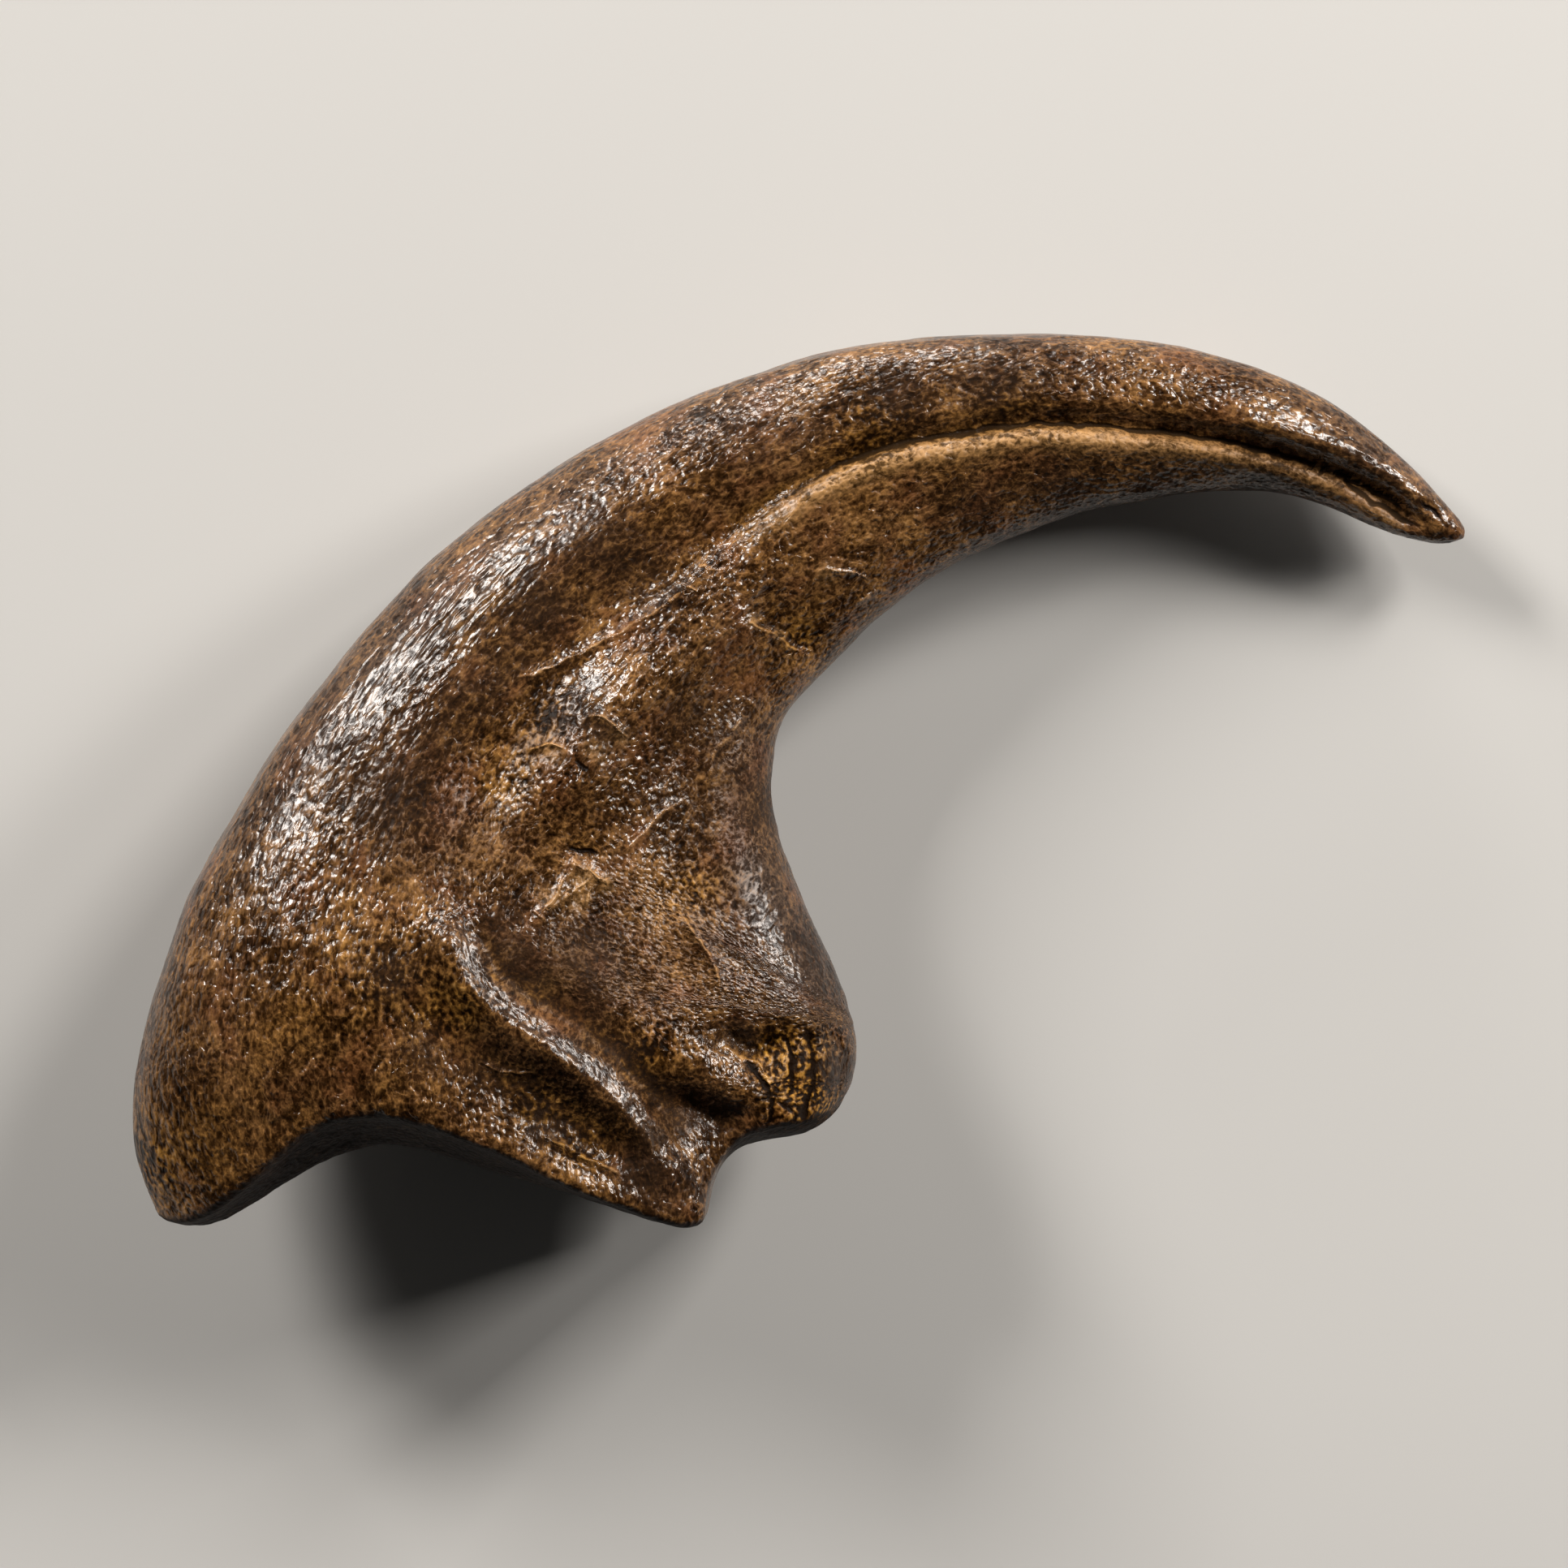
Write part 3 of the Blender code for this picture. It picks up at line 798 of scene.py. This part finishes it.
def zone_strengths(view, rough, polished):
    """How strongly each zone of the material shows at each vertex."""
    run, left, away = along_path(view.flat, GROOVE)
    on_groove = between_ends(run, left, *GROOVE_ENDS) * view.upper
    worn = band(away, *WORN_CREST) * on_groove * (1 - WORN_LOSS * smoothstep(*WORN_FADE, run))
    dull_crest = DULL_STRENGTH * band(away, *DULL_CREST) * on_groove * smoothstep(*DULL_RISE, run)
    run, left, away = along_path(view.flat, JOINT_RIDGE)
    on_ridge = band(away, *RIDGE_SHEEN) * between_ends(run, left, *SHEEN_ENDS) * view.upper
    # the valley next to the joint ridge: painted shade in its colour, and dull
    beside = band(away, *RIDGE_VALLEY) * between_ends(run, left, *RIDGE_VALLEY_ENDS) * view.upper
    low = smoothstep(*JOINT_PLACE, view.flat[:, 1])
    return {
        "golden": patches(view.flat, GOLDEN) * view.flanks,
        # Stains and painted shade in the dark patches, and painted shade in the valley beside the joint
        # ridge
        "stain_and_shade": np.maximum(patches(view.flat, STAINS_AND_SHADE) * view.flanks, RIDGE_VALLEY_SHADE * beside),
        # painted shade on the joint's face, which faces down
        "joint": smoothstep(*JOINT_FACING, -view.normals[:, 1]) * low,
        "polished": np.maximum(polished, on_ridge),
        "rough": rough,
        "dashed": patches(view.flat, DASHED) * view.flanks,
        "worn": np.maximum(worn, patches(view.shaky, PALE) * view.shown),
        "matt": patches(view.flat, MATT) * view.flanks,
        "dirty": np.maximum(beside, dull_crest),
    }


def carve(piece):
    """Raise and cut the bone's surface, and store what its material needs to know."""
    mesh = piece.data
    view = side_view(mesh)
    rough = patches(view.flat, ROUGH) * view.flanks
    polished = patches(view.flat, POLISHED) * view.flanks
    heights = line_heights(mesh, view)
    place = move_surface(mesh, view, heights, worn_relief(view, rough, polished))
    store(mesh, "grain", view.grain)
    store(mesh, "hollow", np.clip(hollowness(mesh, place, HOLLOW_ROUNDS), -1, 1))
    strengths = zone_strengths(view, rough, polished)
    for name, parts in ZONES.items():
        store(mesh, name, np.column_stack([strengths[part] for part in parts]))


def node_at(tree, kind, **settings):
    """Shader node with its settings and its input values, which may be sockets."""
    node = tree.nodes.new(kind)
    inputs = settings.pop("inputs", {})
    for name, value in settings.items():
        setattr(node, name, value)
    for name, value in inputs.items():
        if isinstance(value, bpy.types.NodeSocket):
            tree.links.new(value, node.inputs[name])
        else:
            node.inputs[name].default_value = value
    return node


def calculate(tree, operation, *values):
    """Math node on sockets and numbers."""
    node = node_at(tree, "ShaderNodeMath", operation=operation, inputs=dict(enumerate(values)))
    return node.outputs[0]


def colour_ramp(tree, value, stops):
    """Colour ramp through (place, colour) stops."""
    node = tree.nodes.new("ShaderNodeValToRGB")
    tree.links.new(value, node.inputs[0])
    elements = node.color_ramp.elements
    elements[0].position, elements[0].color = stops[0]
    elements[1].position, elements[1].color = stops[-1]
    for place, colour in stops[1:-1]:
        elements.new(place).color = colour
    return node.outputs["Color"]


def grey_ramp(tree, value, *stops):
    """Ramp through (place, level) stops."""
    return colour_ramp(tree, value, [(place, (level, level, level, 1)) for place, level in stops])


def mix_colour(tree, share, first, second):
    """First colour, turned into the second by a share."""
    node = node_at(
        tree, "ShaderNodeMix", data_type="RGBA", inputs=dict(zip(MIX_SOCKETS, (share, first, second)))
    )
    return node.outputs[2]


def weighted(tree, signals, start, weights):
    """Sum of a number and the signals of these names, times their weights."""
    total = start
    for name, weight in weights.items():
        total = calculate(tree, "MULTIPLY_ADD", signals[name], weight, total)
    return total


def attribute(tree, name, output):
    return node_at(tree, "ShaderNodeAttribute", attribute_name=name).outputs[output]


def attribute_parts(tree, name):
    """Three numbers that a vertex attribute holds."""
    return node_at(
        tree, "ShaderNodeSeparateXYZ", inputs={0: attribute(tree, name, "Vector")}
    ).outputs[:]


def texture(tree, grain, stretch, scale, detail, roughness, distortion):
    """Noise in the bone's grain coordinates."""
    vector = node_at(
        tree, "ShaderNodeMapping", vector_type="POINT", inputs={"Vector": grain, "Scale": stretch}
    ).outputs[0]
    return node_at(
        tree, "ShaderNodeTexNoise",
        inputs={"Vector": vector, "Scale": scale, "Detail": detail, "Roughness": roughness,
                "Distortion": distortion},
    ).outputs[0]


def crumpled(tree, waves):
    """Crumpled ridges, where a noise passes through its middle."""
    off = calculate(tree, "ABSOLUTE", calculate(tree, "SUBTRACT", waves, 0.5))
    return grey_ramp(tree, off, (0.0, 1), (0.03, 0.5), (0.13, 0))


def drawn_lines(tree, name, width, least, blotch):
    """The stored lines of this name, drawn this wide, at their weakest this strong."""
    distances = attribute_parts(tree, name + "_away")
    strengths = attribute_parts(tree, name + "_strength")
    drawn = None
    for away, strength in zip(distances, strengths):
        core = grey_ramp(tree, calculate(tree, "ABSOLUTE", away), (0.0, 1), (width, 0))
        line = calculate(tree, "MULTIPLY", core, strength)
        drawn = line if drawn is None else calculate(tree, "MAXIMUM", drawn, line)
    return calculate(tree, "MULTIPLY", drawn, grey_ramp(tree, blotch, (0.38, least), (0.50, 1)))


def bone_signals(tree):
    """The noises, lines and zones that the bone's colour, gloss and height are made of."""
    grain = attribute(tree, "grain", "Vector")
    signals = {name: texture(tree, grain, *settings) for name, settings in NOISES.items()}
    for name, settings in RIDGES.items():
        signals[name] = crumpled(tree, texture(tree, grain, *settings))
    for name, (width, least) in LINES.items():
        signals[name] = drawn_lines(tree, name, width, least, signals["blotch"])
    for name, parts in ZONES.items():
        signals.update(zip(parts, attribute_parts(tree, name)))
    signals["hollow"] = attribute(tree, "hollow", "Fac")
    half_hollow = weighted(tree, signals, 0.5, {"hollow": 0.5})
    signals["sunk"] = grey_ramp(tree, half_hollow, (0.50, 0), (0.85, 1))
    crumbs = calculate(tree, "SUBTRACT", signals["grit"], CRUMB_LEVEL)
    signals["crumbly"] = calculate(tree, "MULTIPLY", signals["golden"], crumbs)
    signals["tone"] = weighted(tree, signals, *TONE)
    return signals


def bone_colour(tree, signals):
    """Flecked brown, golden in the hollows, stained and worn, with painted shade in its dark patches and
    on the joint's face.
    """
    tone = signals["tone"]
    signals["golden_hue"] = grey_ramp(tree, signals["hue"], (0.44, 0), (0.64, 0.25))
    base = mix_colour(
        tree, weighted(tree, signals, 0.0, GOLD_SHARE),
        colour_ramp(tree, tone, BROWN), colour_ramp(tree, tone, GOLD),
    )
    rusty_hue = grey_ramp(tree, signals["hue"], (0.34, 0.45), (0.47, 0))
    rusty = calculate(tree, "MULTIPLY", rusty_hue, grey_ramp(tree, tone, (0.35, 0), (0.6, 1)))
    base = mix_colour(tree, rusty, base, RUST)
    tanned = grey_ramp(tree, tone, (0.36, 0.15), (0.56, 0.9))
    for name, share, colour in (
        ("polished", 0.4, DUSK),
        # stains and painted shade
        ("worn", tanned, TAN),
        ("stain_and_shade", 0.5, DUSK),
        # painted shade on the joint's face
        ("joint", 0.8, JOINT_SHADE_COLOUR),
    ):
        base = mix_colour(tree, calculate(tree, "MULTIPLY", signals[name], share), base, colour)
    return base


def bone_shine(tree, signals):
    """Specular tint: bright varnish, dull in its dark pits and where it is worn or dirty."""
    signals["varnish"] = grey_ramp(tree, signals["tone"], (0.38, 0.1), (0.52, 1))
    signals["dull"] = weighted(tree, signals, 0.0, DULL)
    shine = weighted(tree, signals, 0.0, SHINE)
    return grey_ramp(tree, shine, (0.0, 0.05), (1.0, 1))


def bone_bump(tree, signals):
    """Grains, dashes and lines too fine for the mesh, calmer where the bone is polished."""
    signals["grains"] = calculate(
        tree, "MULTIPLY", weighted(tree, signals, 0.0, GRAINS), weighted(tree, signals, *GRAIN_STRENGTH)
    )
    signals["dashes"] = calculate(
        tree, "MULTIPLY", signals["dash"], weighted(tree, signals, *DASH_STRENGTH)
    )
    height = weighted(tree, signals, 0.0, BUMP)
    node = node_at(tree, "ShaderNodeBump", inputs={"Strength": 1.0, "Distance": MM, "Height": height})
    return node.outputs[0]


def bone_material():
    """Dark, varnished fossil bone: flecked brown, golden in its hollows, glossy on its ridges."""
    material = bpy.data.materials.new("fossil_bone_surface")
    material.use_nodes = True
    tree = material.node_tree
    shader = tree.nodes["Principled BSDF"]
    signals = bone_signals(tree)
    shader.inputs["Specular IOR Level"].default_value = SPECULAR_LEVEL
    for name, socket in (
        ("Base Color", bone_colour(tree, signals)),
        ("Roughness", weighted(tree, signals, *ROUGHNESS)),
        ("Specular Tint", bone_shine(tree, signals)),
        ("Normal", bone_bump(tree, signals)),
    ):
        tree.links.new(socket, shader.inputs[name])
    return material


def side_view_point(x, y, z):
    """Place in the frame of a side-view point in millimetres."""
    return SIDE_VIEW_TURN @ Vector((x, y, z)) * MM + SIDE_VIEW_ORIGIN


def look_from(item, place, target, up):
    """Put a camera or light at a place, facing a target."""
    backward = (place - target).normalized()
    right = up.cross(backward).normalized()
    upward = backward.cross(right)
    rotation = Matrix((right, upward, backward)).transposed()
    item.matrix_world = Matrix.Translation(place) @ rotation.to_4x4()


def add_camera():
    """Camera square on to the claw's flank, framed as the photograph."""
    data = bpy.data.cameras.new("camera")
    data.lens = LENS
    data.sensor_width = SENSOR
    camera = bpy.data.objects.new("camera", data)
    bpy.context.scene.collection.objects.link(camera)
    place = side_view_point(*FRAME_MIDDLE, CAMERA_DISTANCE)
    target = side_view_point(*FRAME_MIDDLE, 0)
    look_from(camera, place, target, SIDE_VIEW_TURN @ Vector((0, 1, 0)))
    bpy.context.scene.camera = camera


def add_light(name, direction, size, power):
    """Square soft light that faces the claw from a side-view direction."""
    data = bpy.data.lights.new(name, "AREA")
    data.size = size
    data.energy = power
    data.color = LIGHT_COLOUR
    light = bpy.data.objects.new(name, data)
    bpy.context.scene.collection.objects.link(light)
    target = side_view_point(0, 0, 0)
    place = target + (SIDE_VIEW_TURN @ Vector(direction)).normalized() * LIGHT_DISTANCE
    look_from(light, place, target, LIGHT_UP)


def add_floor():
    """Plain pale table under the claw."""
    bpy.ops.mesh.primitive_plane_add(size=FLOOR_SIZE)
    floor = bpy.context.object
    floor.name = "floor"
    material = bpy.data.materials.new("pale_floor")
    material.use_nodes = True
    shader = material.node_tree.nodes["Principled BSDF"]
    shader.inputs["Base Color"].default_value = FLOOR_COLOUR
    shader.inputs["Roughness"].default_value = FLOOR_ROUGHNESS
    floor.data.materials.append(material)


def add_surroundings():
    """Dim grey light from all round."""
    world = bpy.data.worlds.new("surroundings")
    world.use_nodes = True
    background = world.node_tree.nodes["Background"]
    background.inputs["Color"].default_value = SURROUNDINGS_COLOUR
    background.inputs["Strength"].default_value = SURROUNDINGS_STRENGTH
    bpy.context.scene.world = world
    bpy.context.scene.view_settings.view_transform = "Standard"


def main():
    claw = fine_surface(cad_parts["claw"])
    carve(claw)
    claw.data.shade_smooth()
    claw.data.materials.append(bone_material())
    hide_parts("claw")
    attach(claw, "root")
    add_floor()
    for name, settings in LIGHTS.items():
        add_light(name, *settings)
    add_surroundings()
    add_camera()


main()
